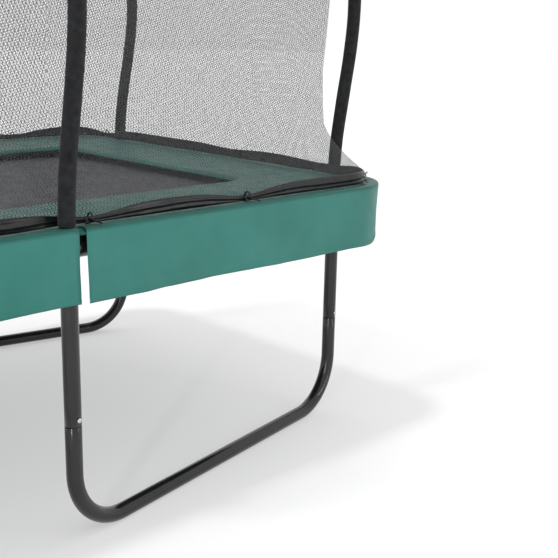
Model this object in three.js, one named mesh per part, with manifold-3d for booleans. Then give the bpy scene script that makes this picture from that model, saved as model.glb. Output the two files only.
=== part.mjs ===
// Rectangular backyard trampoline with a six-pole safety enclosure.
// Millimetres, +Z up, +X along the long side. The origin is on the ground under the centre.
// "near" is -Y, "far" is +Y, "left" is -X and "right" is +X.
import * as THREE from "three";
import { ParametricGeometry } from "three/addons/geometries/ParametricGeometry.js";
import { mergeVertices } from "three/addons/utils/BufferGeometryUtils.js";
import Module from "manifold-3d";

const wasm = await Module();
wasm.setup();

// Driving dimensions: the safety pad and its skirt
const PAD_LENGTH = 2150;
const PAD_WIDTH = 1540;
const PAD_CORNER_RADIUS = 170;
const PAD_TOP = 724;
const PAD_THICKNESS = 20.5;
const PAD_BAND = 322; // from the outer edge to the edge over the mat
const PAD_INNER_RADIUS = 45;
const SKIRT_BOTTOM = 564;
const SKIRT_THICKNESS = 3;
const SLIT_WIDTH = 18; // the cut that lets the pad slip round each pole
const POLE_HOLE_RADIUS = 17;

// Driving dimensions: the tubular frame and legs
const TUBE_RADIUS = 19;
const TUBE_WALL = 1.5;
const TUBE_INSET = 30; // from the pad's edge to the frame tube's axis
const FRAME_AXIS_Z = 681;
const TUBE_END_GAP = 15; // from a pole's axis to the end of the frame tube beside it
const LEG_BEND_RADIUS = 150;
const LEG_SEAM_Z = 285; // where each post meets the U-shaped leg
const SPIGOT_RADIUS = 16.6; // reduced tube end that plugs into the next tube
const SPIGOT_LENGTH = 50;
const TEE_RADIUS = 22;
const TEE_LENGTH = 110;
const TEE_COLLAR_RADIUS = 15;
const SCREW_Z = 300;
const SCREW_HOLE_RADIUS = 3;

// Driving dimensions: the net poles and their foam sleeves
const POLE_RADIUS = 12.7;
const POLE_BOTTOM = 665;
const POLE_TOP = 2240;
const SLEEVE_RADIUS = 18.5;
const SLEEVE_BOTTOM = 728;
const SLEEVE_TOP = 2215;
const POLE_BULGE = 62; // how far the pole's middle stands outside its foot
const POLE_BULGE_START = 1200; // the bulge is full from here...
const POLE_BULGE_END = 1900; // ...to here, and then the pole leans back in
const POLE_TOP_OFFSET = 14;

// Driving dimensions: the mat, its springs, the net and the entrance zip
const MAT_INSET = 226.5;
const MAT_CORNER_RADIUS = 62;
const MAT_Z = 688;
const MAT_THICKNESS = 4;
const MAT_BAND_WIDTH = 26;
const SPRING_RADIUS = 8;
const SPRING_START = 55; // inset of the hook end, just inside the frame tube and its fittings
const SPRINGS_LONG = 14;
const SPRINGS_SHORT = 9;
const NET_THICKNESS = 4;
const NET_BOTTOM = 729;
const NET_TOP = 2205;
const NET_FOOT_INSET = 44;
const NET_POLE_TUCK = 12; // extra inset where the net passes behind a pole
const NET_WAIST = 48; // from the poles' feet in to the net where it is narrowest
const NET_TOP_GAP = 11; // from the poles' feet in to the net's top edge
const NET_PULL_HEIGHT = 95; // height over which the corners draw in
const HEM_HEIGHT = 28;
const HEM_THICKNESS = 2.5;
const TOP_BAND_HEIGHT = 25;
const ZIP_X = -1027.5;
const ZIP_BOTTOM = 756;
const ZIP_TOP = 1650;
const ZIP_HALF_WIDTH = 12;
const ZIP_REACH = 170; // the zip holds the net upright this far to each side

// Sizes worked out from those above
const FRAME_X = PAD_LENGTH / 2 - TUBE_INSET;
const FRAME_Y = PAD_WIDTH / 2 - TUBE_INSET;
const CORNER_BEND = PAD_CORNER_RADIUS - TUBE_INSET;
// The end poles stand where all three legs come out the same length.
const END_POLE_Y = (Math.sqrt(FRAME_Y ** 2 + 3 * (FRAME_X ** 2 + FRAME_Y ** 2)) - FRAME_Y) / 3;
const LEG_SPAN = 2 * END_POLE_Y;

// Each leg carries one pole's foot and the next one's: 0 with 1, 2 with 3, and 4 with 5.
const POLES = [
  { name: "near_mid", x: 0, y: -FRAME_Y, out: [0, -1] },
  { name: "right_near", x: FRAME_X, y: -END_POLE_Y, out: [1, 0] },
  { name: "right_far", x: FRAME_X, y: END_POLE_Y, out: [1, 0] },
  { name: "far_mid", x: 0, y: FRAME_Y, out: [0, 1] },
  { name: "left_far", x: -FRAME_X, y: END_POLE_Y, out: [-1, 0] },
  { name: "left_near", x: -FRAME_X, y: -END_POLE_Y, out: [-1, 0] },
];

const BLACK_STEEL = { color: 0x1a1b1d, roughness: 0.32, metalness: 0.6 };
const ZINC = { color: 0xb9bcc0, roughness: 0.35, metalness: 0.9 };
const FOAM = { color: 0x202224, roughness: 0.85, metalness: 0 };
const MAT_FABRIC = { color: 0x2b2d30, roughness: 0.8, metalness: 0 };
const GREEN_VINYL = { color: 0x3f8572, roughness: 0.5, metalness: 0 };
const NET_MESH = { color: 0x3a3c3e, roughness: 0.8, metalness: 0 };
const BLACK_WEBBING = { color: 0x18191a, roughness: 0.7, metalness: 0 };
const BLACK_PLASTIC = { color: 0x141414, roughness: 0.45, metalness: 0 };

const trampoline = new THREE.Group();

function addMesh(parent, name, geometry, look) {
  const mesh = new THREE.Mesh(geometry, new THREE.MeshStandardMaterial(look));
  mesh.name = name;
  parent.add(mesh);
  return mesh;
}

// ---------------------------------------------------------------- shape helpers

// A regular polygon with its flats at this radius, and a flat facing each axis.
function roundPoints(radius, sides) {
  const reach = radius / Math.cos(Math.PI / sides);
  const points = [];
  for (let i = 0; i < sides; i += 1) {
    const angle = ((i + 0.5) * 2 * Math.PI) / sides;
    points.push(new THREE.Vector2(reach * Math.cos(angle), reach * Math.sin(angle)));
  }
  return points;
}

function ringShape(outer, inner, sides) {
  const shape = new THREE.Shape(roundPoints(outer, sides));
  if (inner > 0) shape.holes.push(new THREE.Path(roundPoints(inner, sides)));
  return shape;
}

// A path that has one step between each pair of its points, so that straight runs stay cheap.
class TubeRun extends THREE.Curve {
  constructor(points) {
    super();
    this.points = points;
  }

  getUtoTmapping(u) {
    return u;
  }

  getPoint(t, target = new THREE.Vector3()) {
    const at = Math.min(Math.max(t, 0), 1) * (this.points.length - 1);
    const index = Math.min(Math.floor(at), this.points.length - 2);
    return target.lerpVectors(this.points[index], this.points[index + 1], at - index);
  }
}

function sweep(points, shape) {
  const extrudePath = new TubeRun(points);
  return new THREE.ExtrudeGeometry(shape, { steps: points.length - 1, bevelEnabled: false, extrudePath });
}

function arcPoints(centre, radius, from, to, steps, place) {
  const points = [];
  for (let i = 0; i <= steps; i += 1) {
    const angle = from + ((to - from) * i) / steps;
    points.push(place(centre[0] + radius * Math.cos(angle), centre[1] + radius * Math.sin(angle)));
  }
  return points;
}

function extrude(shape, bottom, height, curveSegments = 6) {
  const geometry = new THREE.ExtrudeGeometry(shape, { depth: height, bevelEnabled: false, curveSegments });
  return geometry.translate(0, 0, bottom);
}

function roundedRectangle(halfX, halfY, radius, Kind = THREE.Shape) {
  const path = new Kind();
  path.moveTo(-halfX + radius, -halfY);
  path.lineTo(halfX - radius, -halfY);
  path.absarc(halfX - radius, -halfY + radius, radius, -Math.PI / 2, 0);
  path.absarc(halfX - radius, halfY - radius, radius, 0, Math.PI / 2);
  path.absarc(-halfX + radius, halfY - radius, radius, Math.PI / 2, Math.PI);
  path.absarc(-halfX + radius, -halfY + radius, radius, Math.PI, 1.5 * Math.PI);
  return path;
}

function padOutline(inset, radius, Kind) {
  return roundedRectangle(PAD_LENGTH / 2 - inset, PAD_WIDTH / 2 - inset, radius, Kind);
}

function box(x0, x1, y0, y1, z0, z1) {
  const geometry = new THREE.BoxGeometry(x1 - x0, y1 - y0, z1 - z0);
  return geometry.translate((x0 + x1) / 2, (y0 + y1) / 2, (z0 + z1) / 2);
}

function solid(geometry) {
  const bare = geometry.clone();
  bare.deleteAttribute("normal");
  bare.deleteAttribute("uv");
  const merged = mergeVertices(bare, 1e-4);
  const vertProperties = new Float32Array(merged.attributes.position.array);
  const triVerts = new Uint32Array(merged.index.array);
  return new wasm.Manifold(new wasm.Mesh({ numProp: 3, vertProperties, triVerts }));
}

function geometryOf(manifold) {
  const mesh = manifold.getMesh();
  const geometry = new THREE.BufferGeometry();
  geometry.setAttribute("position", new THREE.BufferAttribute(mesh.vertProperties, 3));
  geometry.setIndex(new THREE.BufferAttribute(mesh.triVerts, 1));
  return geometry;
}

function join(geometries) {
  return geometries.map(solid).reduce((whole, piece) => whole.add(piece));
}

function cut(whole, geometries) {
  return geometries.map(solid).reduce((left, tool) => left.subtract(tool), whole);
}

function upright(radius, bottom, top, sides) {
  return extrude(ringShape(radius, 0, sides), bottom, top - bottom);
}

// ---------------------------------------------------------------- legs

// The leg's own frame has X along its span, Y into the trampoline and Z up.
function legTube() {
  const low = TUBE_RADIUS;
  const bend = LEG_BEND_RADIUS;
  const inPlane = (x, z) => new THREE.Vector3(x, 0, z);
  const points = [
    inPlane(0, LEG_SEAM_Z),
    ...arcPoints([bend, low + bend], bend, Math.PI, 1.5 * Math.PI, 4, inPlane),
    ...arcPoints([LEG_SPAN - bend, low + bend], bend, 1.5 * Math.PI, 2 * Math.PI, 4, inPlane),
    inPlane(LEG_SPAN, LEG_SEAM_Z),
  ];
  const tube = sweep(points, ringShape(TUBE_RADIUS, TUBE_RADIUS - TUBE_WALL, 12));
  const spigots = [0, LEG_SPAN].map((x) =>
    upright(SPIGOT_RADIUS, LEG_SEAM_Z - 30, LEG_SEAM_Z + SPIGOT_LENGTH, 12).translate(x, 0, 0),
  );
  // The spigot is the same tube pressed smaller, so it joins the wall through a short solid collar.
  const collars = [0, LEG_SPAN].map((x) =>
    upright(TUBE_RADIUS - 0.5, LEG_SEAM_Z - 12, LEG_SEAM_Z - 2, 12).translate(x, 0, 0),
  );
  const bores = [0, LEG_SPAN].map((x) =>
    upright(SPIGOT_RADIUS - TUBE_WALL, LEG_SEAM_Z - 40, LEG_SEAM_Z + SPIGOT_LENGTH + 10, 8).translate(x, 0, 0),
  );
  const holes = [0, LEG_SPAN].map((x) => screwHole().translate(x, 0, 0));
  return geometryOf(cut(join([tube, ...spigots, ...collars]), [...bores, ...holes]));
}

// A hole through the outer wall only, where the leg's screw goes in.
function screwHole() {
  const drill = upright(SCREW_HOLE_RADIUS, 0, TUBE_RADIUS + 4, 8);
  return drill.rotateX(Math.PI / 2).translate(0, 0, SCREW_Z);
}

function postTube() {
  const top = FRAME_AXIS_Z - TEE_RADIUS - 1;
  const bottom = LEG_SEAM_Z + 0.4;
  const tube = extrude(ringShape(TUBE_RADIUS, TUBE_RADIUS - TUBE_WALL, 12), bottom, top - bottom);
  return geometryOf(cut(solid(tube), [screwHole()]));
}

function screw() {
  const start = TUBE_RADIUS + 0.4;
  const profile = [
    [0, start - 7],
    [2.4, start - 7],
    [2.4, start],
    [6, start],
    [5.4, start + 2],
    [3.4, start + 3.4],
    [0, start + 3.8],
  ];
  const lathe = new THREE.LatheGeometry(profile.map(([r, y]) => new THREE.Vector2(r, y)), 8);
  // The lathe's axis is Y, and the screw faces out of the leg, along -Y.
  return lathe.rotateX(Math.PI).translate(0, 0, SCREW_Z);
}

const LEG_NAMES = ["leg_near_right", "leg_far_right", "leg_left_end"];
LEG_NAMES.forEach((name, index) => {
  const first = POLES[2 * index];
  const second = POLES[2 * index + 1];
  const leg = new THREE.Group();
  leg.position.set(first.x, first.y, 0);
  leg.rotation.z = Math.atan2(second.y - first.y, second.x - first.x);
  addMesh(leg, name, legTube(), BLACK_STEEL);
  [first, second].forEach((pole, end) => {
    addMesh(leg, `leg_post_${pole.name}`, postTube(), BLACK_STEEL).position.x = end * LEG_SPAN;
    addMesh(leg, `leg_screw_${pole.name}`, screw(), ZINC).position.x = end * LEG_SPAN;
  });
  trampoline.add(leg);
});

// ---------------------------------------------------------------- top frame

// The fitting's sleeve takes two frame tubes, its spigot the leg post, and its collar the pole.
function frameTee() {
  const sleeve = extrude(ringShape(TEE_RADIUS, 0, 12), -TEE_LENGTH / 2, TEE_LENGTH);
  const bore = extrude(ringShape(TUBE_RADIUS + 0.4, 0, 12), -TEE_LENGTH, 2 * TEE_LENGTH);
  [sleeve, bore].forEach((geometry) => geometry.rotateY(Math.PI / 2).translate(0, 0, FRAME_AXIS_Z));
  const spigotTop = FRAME_AXIS_Z - TUBE_RADIUS - 1;
  const spigot = upright(SPIGOT_RADIUS - 0.4, spigotTop - SPIGOT_LENGTH, spigotTop, 8);
  const collar = upright(TEE_COLLAR_RADIUS, FRAME_AXIS_Z + TUBE_RADIUS + 1, PAD_TOP - 2, 8);
  const poleBore = upright(POLE_RADIUS + 1, FRAME_AXIS_Z, PAD_TOP, 8);
  const spigotBore = upright(SPIGOT_RADIUS - 0.4 - TUBE_WALL, 0, FRAME_AXIS_Z, 8);
  return geometryOf(cut(join([sleeve, spigot, collar]), [bore, poleBore, spigotBore]));
}

POLES.forEach((pole) => {
  const tee = addMesh(trampoline, `frame_tee_${pole.name}`, frameTee(), BLACK_STEEL);
  tee.position.set(pole.x, pole.y, 0);
  tee.rotation.z = pole.out[0] === 0 ? 0 : Math.PI / 2;
});

const FRAME_SECTION = ringShape(TUBE_RADIUS, TUBE_RADIUS - TUBE_WALL, 12);

// One bent tube round a corner, from the mid pole to the end pole.
function cornerTube(signX, signY) {
  const place = (x, y) => new THREE.Vector3(signX * x, signY * y, FRAME_AXIS_Z);
  const centre = [FRAME_X - CORNER_BEND, FRAME_Y - CORNER_BEND];
  const points = [
    place(TUBE_END_GAP, FRAME_Y),
    ...arcPoints(centre, CORNER_BEND, Math.PI / 2, 0, 5, place),
    place(FRAME_X, END_POLE_Y + TUBE_END_GAP),
  ];
  return sweep(points, FRAME_SECTION);
}

function endTube(signX) {
  const reach = END_POLE_Y - TUBE_END_GAP;
  const points = [-reach, reach].map((y) => new THREE.Vector3(signX * FRAME_X, y, FRAME_AXIS_Z));
  return sweep(points, FRAME_SECTION);
}

addMesh(trampoline, "frame_tube_near_right", cornerTube(1, -1), BLACK_STEEL);
addMesh(trampoline, "frame_tube_far_right", cornerTube(1, 1), BLACK_STEEL);
addMesh(trampoline, "frame_tube_far_left", cornerTube(-1, 1), BLACK_STEEL);
addMesh(trampoline, "frame_tube_near_left", cornerTube(-1, -1), BLACK_STEEL);
addMesh(trampoline, "frame_tube_right_end", endTube(1), BLACK_STEEL);
addMesh(trampoline, "frame_tube_left_end", endTube(-1), BLACK_STEEL);

// ---------------------------------------------------------------- poles and sleeves

const smooth = (t) => t * t * (3 - 2 * t);

function between(value, low, high) {
  return Math.min(Math.max((value - low) / (high - low), 0), 1);
}

// How far outside its foot the pole stands at this height.
function poleOffset(z) {
  const rise = smooth(between(z, SLEEVE_BOTTOM, POLE_BULGE_START));
  const lean = smooth(between(z, POLE_BULGE_END, 2 * SLEEVE_TOP - POLE_BULGE_END));
  return POLE_BULGE * rise - 2 * (POLE_BULGE - POLE_TOP_OFFSET) * lean;
}

function poleHeights(bottom, top) {
  const heights = [SLEEVE_BOTTOM];
  for (let i = 1; i <= 4; i += 1) {
    heights.push(SLEEVE_BOTTOM + ((POLE_BULGE_START - SLEEVE_BOTTOM) * i) / 4);
  }
  for (let i = 0; i <= 2; i += 1) {
    heights.push(POLE_BULGE_END + ((SLEEVE_TOP - POLE_BULGE_END) * i) / 2);
  }
  if (bottom < SLEEVE_BOTTOM) heights.unshift(bottom);
  if (top > SLEEVE_TOP) heights.push(top);
  return heights;
}

function poleSweep(pole, bottom, top, shape) {
  const points = poleHeights(bottom, top).map((z) => {
    const offset = poleOffset(z);
    return new THREE.Vector3(pole.x + pole.out[0] * offset, pole.y + pole.out[1] * offset, z);
  });
  return sweep(points, shape);
}

POLES.forEach((pole) => {
  const poleSection = ringShape(POLE_RADIUS - 0.4, POLE_RADIUS - TUBE_WALL, 8);
  const tube = poleSweep(pole, POLE_BOTTOM, POLE_TOP, poleSection);
  addMesh(trampoline, `net_pole_${pole.name}`, tube, BLACK_STEEL);
  const sleeveSection = new THREE.Shape(roundPoints(SLEEVE_RADIUS, 12));
  sleeveSection.holes.push(new THREE.Path(roundPoints(POLE_RADIUS + 0.2, 8)));
  const sleeve = poleSweep(pole, SLEEVE_BOTTOM, SLEEVE_TOP, sleeveSection);
  addMesh(trampoline, `foam_sleeve_${pole.name}`, sleeve, FOAM);
});

// ---------------------------------------------------------------- mat and springs

const mat = extrude(padOutline(MAT_INSET, MAT_CORNER_RADIUS), MAT_Z, MAT_THICKNESS, 4);
addMesh(trampoline, "jumping_mat", mat, MAT_FABRIC);

const bandShape = padOutline(MAT_INSET, MAT_CORNER_RADIUS);
bandShape.holes.push(padOutline(MAT_INSET + MAT_BAND_WIDTH, MAT_CORNER_RADIUS - MAT_BAND_WIDTH, THREE.Path));
const matBand = extrude(bandShape, MAT_Z + MAT_THICKNESS + 0.3, 2, 4);
addMesh(trampoline, "mat_edge_webbing", matBand, BLACK_WEBBING);

// A row of springs, joined at the mat's end by the webbing that holds their rings.
// In its own frame the row runs along X, with the mat towards +Y and the pad's edge at Y = 0.
function springRow(rowLength, count) {
  const ring = [MAT_INSET - 12, MAT_INSET - 0.5];
  const pieces = [box(-rowLength / 2, rowLength / 2, ring[0], ring[1], MAT_Z - 1, MAT_Z + 5)];
  const pitch = (rowLength - 4 * SPRING_RADIUS) / (count - 1);
  for (let i = 0; i < count; i += 1) {
    const coil = extrude(ringShape(SPRING_RADIUS, 0, 6), 0, ring[0] + 2 - SPRING_START);
    const x = (i - (count - 1) / 2) * pitch;
    pieces.push(coil.rotateX(-Math.PI / 2).translate(x, SPRING_START, MAT_Z + 2));
  }
  return geometryOf(join(pieces));
}

const LONG_ROW = PAD_LENGTH - 2 * (MAT_INSET + MAT_CORNER_RADIUS + 8);
const SHORT_ROW = PAD_WIDTH - 2 * (MAT_INSET + MAT_CORNER_RADIUS + 8);
const SPRING_ROWS = [
  { name: "spring_row_near", turn: 0, at: [0, -PAD_WIDTH / 2], length: LONG_ROW, count: SPRINGS_LONG },
  { name: "spring_row_right", turn: 1, at: [PAD_LENGTH / 2, 0], length: SHORT_ROW, count: SPRINGS_SHORT },
  { name: "spring_row_far", turn: 2, at: [0, PAD_WIDTH / 2], length: LONG_ROW, count: SPRINGS_LONG },
  { name: "spring_row_left", turn: 3, at: [-PAD_LENGTH / 2, 0], length: SHORT_ROW, count: SPRINGS_SHORT },
];
SPRING_ROWS.forEach((row) => {
  const mesh = addMesh(trampoline, row.name, springRow(row.length, row.count), ZINC);
  mesh.rotation.z = (row.turn * Math.PI) / 2;
  mesh.position.set(row.at[0], row.at[1], 0);
});

// ---------------------------------------------------------------- safety pad and skirt

const padShape = padOutline(0, PAD_CORNER_RADIUS);
padShape.holes.push(padOutline(PAD_BAND, PAD_INNER_RADIUS, THREE.Path));
const padBottom = PAD_TOP - PAD_THICKNESS;
const slots = POLES.flatMap((pole) => {
  const angle = Math.atan2(pole.out[1], pole.out[0]);
  const slit = box(0, TUBE_INSET + 10, -SLIT_WIDTH / 2, SLIT_WIDTH / 2, padBottom - 5, PAD_TOP + 5);
  const hole = upright(POLE_HOLE_RADIUS, padBottom - 5, PAD_TOP + 5, 8);
  return [slit.rotateZ(angle), hole].map((tool) => tool.translate(pole.x, pole.y, 0));
});
const pad = cut(solid(extrude(padShape, padBottom, PAD_THICKNESS)), slots);
addMesh(trampoline, "safety_pad", geometryOf(pad), GREEN_VINYL);

// The outline of the pad between two poles, anticlockwise, moved in by this much.
function edgeRun(from, to, inset) {
  const halfX = PAD_LENGTH / 2 - inset;
  const halfY = PAD_WIDTH / 2 - inset;
  const slit = SLIT_WIDTH / 2;
  const onEdge = (pole, step) => {
    const along = [-pole.out[1] * step, pole.out[0] * step];
    const half = pole.out[0] === 0 ? halfY : halfX;
    const base = [pole.out[0] * half, pole.out[1] * half];
    const foot = pole.out[0] === 0 ? [pole.x, 0] : [0, pole.y];
    return new THREE.Vector2(base[0] + foot[0] + along[0], base[1] + foot[1] + along[1]);
  };
  const start = onEdge(from, slit);
  const end = onEdge(to, -slit);
  if (from.out[0] === to.out[0]) return [start, end];
  const sign = [Math.sign(from.x + to.x), Math.sign(from.y + to.y)];
  const radius = PAD_CORNER_RADIUS - inset;
  const centre = [sign[0] * (halfX - radius), sign[1] * (halfY - radius)];
  const first = Math.atan2(from.out[1], from.out[0]);
  return [start, ...arcPoints(centre, radius, first, first + Math.PI / 2, 6, (x, y) => new THREE.Vector2(x, y)), end];
}

POLES.forEach((pole, index) => {
  const next = POLES[(index + 1) % POLES.length];
  const outline = [...edgeRun(pole, next, 0), ...edgeRun(pole, next, SKIRT_THICKNESS).reverse()];
  const skirt = extrude(new THREE.Shape(outline), SKIRT_BOTTOM, padBottom - 0.3 - SKIRT_BOTTOM);
  addMesh(trampoline, `skirt_${pole.name}_to_${next.name}`, skirt, GREEN_VINYL);
});

// ---------------------------------------------------------------- enclosure net

// Places along the net's foot, as pairs of a span's number and a share of that span.
const CORNER_STOPS = [0, 0.14, 0.36, 0.56, 0.73, 0.777, 0.823, 0.87, 0.917, 0.958];
const END_STOPS = [0, 0.1, 0.35, 0.44, 0.5, 0.56, 0.65, 0.9];
const COLUMNS = POLES.flatMap((pole, span) => {
  const next = POLES[(span + 1) % POLES.length];
  if (pole.out[0] === next.out[0]) return END_STOPS.map((share) => [span, share]);
  const stops = pole.out[0] === 0 ? CORNER_STOPS : [0, ...CORNER_STOPS.slice(1).map((s) => 1 - s).reverse()];
  return stops.map((share) => [span, share]);
});

const HEM_TOP = PAD_TOP + 1 + HEM_HEIGHT;
const TOP_BAND_BOTTOM = NET_TOP + 5 - TOP_BAND_HEIGHT;

// The plan of the net's foot, from one pole's foot to the next.
function footPath(span) {
  const from = POLES[span];
  const to = POLES[(span + 1) % POLES.length];
  const points = edgeRun(from, to, NET_FOOT_INSET);
  const path = new THREE.CurvePath();
  points.slice(1).forEach((point, i) => path.add(new THREE.LineCurve(points[i], point)));
  return path;
}

const FOOT_PATHS = POLES.map((_, span) => footPath(span));

function hexagonPoint(span, share, inset) {
  const corner = (pole) => new THREE.Vector2(pole.x - pole.out[0] * inset, pole.y - pole.out[1] * inset);
  return corner(POLES[span]).lerp(corner(POLES[(span + 1) % POLES.length]), share);
}

// The net at this column and height. It stands on the pad's outline, draws in to six straight
// spans a little above it, and spreads again towards the tops of the poles.
function netPlan(column, z) {
  const [span, share] = COLUMNS[column % COLUMNS.length];
  const foot = FOOT_PATHS[span].getPointAt(share);
  const rise = Math.max(z - HEM_TOP, 0);
  const pull = 1 - Math.exp(-rise / NET_PULL_HEIGHT);
  const spread = smooth(between(z, HEM_TOP, TOP_BAND_BOTTOM));
  if (share === 0) {
    foot.x -= POLES[span].out[0] * NET_POLE_TUCK;
    foot.y -= POLES[span].out[1] * NET_POLE_TUCK;
  }
  const point = foot.lerp(hexagonPoint(span, share, NET_WAIST), pull);
  const top = hexagonPoint(span, share, NET_TOP_GAP).sub(hexagonPoint(span, share, NET_WAIST));
  point.addScaledVector(top, spread);
  if (point.x < -900 && z <= ZIP_TOP) {
    point.x += (ZIP_X - point.x) * Math.exp(-((point.y / ZIP_REACH) ** 2));
  }
  return point;
}

// The same place, moved out of the enclosure by this much.
function netPoint(column, z, outward) {
  const before = netPlan(column + COLUMNS.length - 1, z);
  const after = netPlan(column + 1, z);
  const along = after.sub(before).normalize();
  const point = netPlan(column, z);
  return new THREE.Vector3(point.x + along.y * outward, point.y - along.x * outward, z);
}

// A closed band round the enclosure. section lists its corners as [height, outward], in order round it.
function netBand(section) {
  const slices = COLUMNS.length;
  const stacks = section.length;
  const place = (u, v, target) => {
    const column = Math.round(u * slices) % slices;
    const [z, outward] = section[Math.round(v * stacks) % stacks];
    target.copy(netPoint(column, z, outward));
  };
  return new ParametricGeometry(place, slices, stacks);
}

const NET_ROWS = [NET_BOTTOM, HEM_TOP, 790, 850, 960, 1250, ZIP_TOP, 1930, TOP_BAND_BOTTOM, NET_TOP];

// The section of a band: up its outer face at these heights, and down its inner face.
function bandSection(heights, inner, thickness) {
  const outside = heights.map((z) => [z, inner + thickness]);
  const inside = heights.map((z) => [z, inner]).reverse();
  return [...outside, ...inside];
}

addMesh(trampoline, "enclosure_net", netBand(bandSection(NET_ROWS, -NET_THICKNESS, NET_THICKNESS)), NET_MESH);
const hemSection = bandSection([PAD_TOP + 1, HEM_TOP], 0.4, HEM_THICKNESS);
addMesh(trampoline, "net_bottom_hem", netBand(hemSection), BLACK_WEBBING);
const topSection = bandSection([TOP_BAND_BOTTOM, NET_TOP + 5], 0.4, HEM_THICKNESS);
addMesh(trampoline, "net_top_band", netBand(topSection), BLACK_WEBBING);

// ---------------------------------------------------------------- entrance zip

const tapeX = ZIP_X - 0.5;
const tape = box(tapeX - 2, tapeX, -ZIP_HALF_WIDTH, ZIP_HALF_WIDTH, ZIP_BOTTOM, ZIP_TOP);
const teeth = box(tapeX - 4, tapeX - 1, -2.5, 2.5, ZIP_BOTTOM + 4, ZIP_TOP - 4);
addMesh(trampoline, "zip_tape", geometryOf(join([tape, teeth])), BLACK_PLASTIC);

// The slider is a shield-shaped plate with a bridge that carries the pull.
const SLIDER_Z = ZIP_BOTTOM + 12;
const PULL_AXIS = { x: tapeX - 11.5, z: SLIDER_Z + 6 };
const shield = new THREE.Shape();
shield.moveTo(-4, 0);
shield.lineTo(4, 0);
shield.lineTo(6.5, 7);
shield.quadraticCurveTo(6.5, 14, 3, 16);
shield.lineTo(-3, 16);
shield.quadraticCurveTo(-6.5, 14, -6.5, 7);
const plate = extrude(shield, 0, 3.5, 3);
plate.rotateX(Math.PI / 2).rotateZ(-Math.PI / 2).translate(tapeX - 4.4, 0, SLIDER_Z);
const bridgeLugs = [-1, 1].map((side) =>
  box(PULL_AXIS.x - 3, tapeX - 7, side * 4.5 - 1, side * 4.5 + 1, PULL_AXIS.z - 3, PULL_AXIS.z + 3),
);
const bridgePin = upright(1.2, -5, 5, 8).rotateX(Math.PI / 2).translate(PULL_AXIS.x, 0, PULL_AXIS.z);
addMesh(trampoline, "zip_slider", geometryOf(join([plate, ...bridgeLugs, bridgePin])), ZINC);

// The pull hangs from the slider's pin by its eye.
const pullShape = new THREE.Shape();
pullShape.moveTo(-3, 3);
pullShape.lineTo(-4.5, -26);
pullShape.absarc(0, -28, 5, Math.PI * 0.9, Math.PI * 2.1);
pullShape.lineTo(3, 3);
const pullPlate = extrude(pullShape, -1, 2, 4).rotateX(Math.PI / 2).rotateZ(Math.PI / 2);
const pullEye = upright(3.4, -3, 3, 10).rotateX(Math.PI / 2);
const pullHole = upright(1.7, -5, 5, 10).rotateX(Math.PI / 2);
const pull = geometryOf(cut(join([pullPlate, pullEye]), [pullHole]));
addMesh(trampoline, "zip_pull", pull.translate(PULL_AXIS.x, 0, PULL_AXIS.z), ZINC);

export default trampoline;
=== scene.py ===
"""Backyard trampoline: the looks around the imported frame. Metres, +Z up, near side at -Y."""

import math

import bpy
import numpy as np
from mathutils import Matrix, Vector, noise


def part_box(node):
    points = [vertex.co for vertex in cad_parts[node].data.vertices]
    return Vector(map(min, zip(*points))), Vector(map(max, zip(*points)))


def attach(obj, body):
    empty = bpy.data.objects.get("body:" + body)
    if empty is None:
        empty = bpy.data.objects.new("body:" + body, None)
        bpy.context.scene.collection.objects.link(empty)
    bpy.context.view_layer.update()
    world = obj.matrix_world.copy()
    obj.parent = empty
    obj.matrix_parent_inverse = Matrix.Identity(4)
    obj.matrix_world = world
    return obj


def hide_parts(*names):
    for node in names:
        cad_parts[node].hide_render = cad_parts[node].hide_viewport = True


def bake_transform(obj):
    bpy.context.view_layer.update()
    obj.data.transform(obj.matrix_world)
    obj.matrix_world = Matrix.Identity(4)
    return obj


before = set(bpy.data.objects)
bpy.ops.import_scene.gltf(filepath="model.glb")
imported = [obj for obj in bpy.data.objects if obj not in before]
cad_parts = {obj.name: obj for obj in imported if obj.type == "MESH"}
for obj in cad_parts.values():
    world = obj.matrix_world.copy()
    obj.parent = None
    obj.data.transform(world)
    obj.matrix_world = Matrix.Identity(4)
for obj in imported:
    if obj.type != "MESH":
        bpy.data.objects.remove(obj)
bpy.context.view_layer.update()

PAD_LOW, PAD_HIGH = (Vector(corner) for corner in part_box("safety_pad"))
MAT_LOW, MAT_HIGH = (Vector(corner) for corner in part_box("jumping_mat"))
SKIRT_LOW = Vector(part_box("skirt_near_mid_to_right_near")[0])
POLE_NAMES = ["near_mid", "right_near", "right_far", "far_mid", "left_far", "left_near"]
OUTWARD = [(0, -1), (1, 0), (1, 0), (0, 1), (-1, 0), (-1, 0)]
CORNERS = {"near_right": (1, -1), "far_right": (1, 1), "far_left": (-1, 1), "near_left": (-1, -1)}


def middle(node):
    low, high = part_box(node)
    return Vector(((low[0] + high[0]) / 2, (low[1] + high[1]) / 2, (low[2] + high[2]) / 2))


POLE_FEET = [middle("frame_tee_" + name).to_2d() for name in POLE_NAMES]
HALF_X = PAD_HIGH.x
HALF_Y = PAD_HIGH.y
PAD_TOP = PAD_HIGH.z
PAD_BOTTOM = PAD_LOW.z
PAD_CORNER = 0.170
PAD_BAND = 0.322
PAD_INNER_CORNER = 0.045
SKIRT_BOTTOM = SKIRT_LOW.z
SLIT = 0.018
SLIT_SHIFT = 0.020  # along the edge, anticlockwise from the pole
SLOT_RADIUS = 0.0175  # of the pad's hole round a pole
SLOT_HALF_WIDTH = SLIT * 0.35
LAP = 0.034  # how far a flap reaches in over the pad
FLAP_THICKNESS = 0.0014
CORNER_LIFT = 0.024  # the most that a flap's lower edge is raised, near the corner
CORNER_LIFT_AT = Vector((HALF_X - 0.01, HALF_Y - 0.12))
CORNER_LIFT_REACH = 0.16
TUBE_RADIUS = 0.019
TUBE_WALL = 0.0015
TUBE_END_GAP = 0.015
TEE_REACH = 0.055
POLE_RADIUS = 0.0125
SLEEVE_RADIUS = 0.0185
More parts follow.
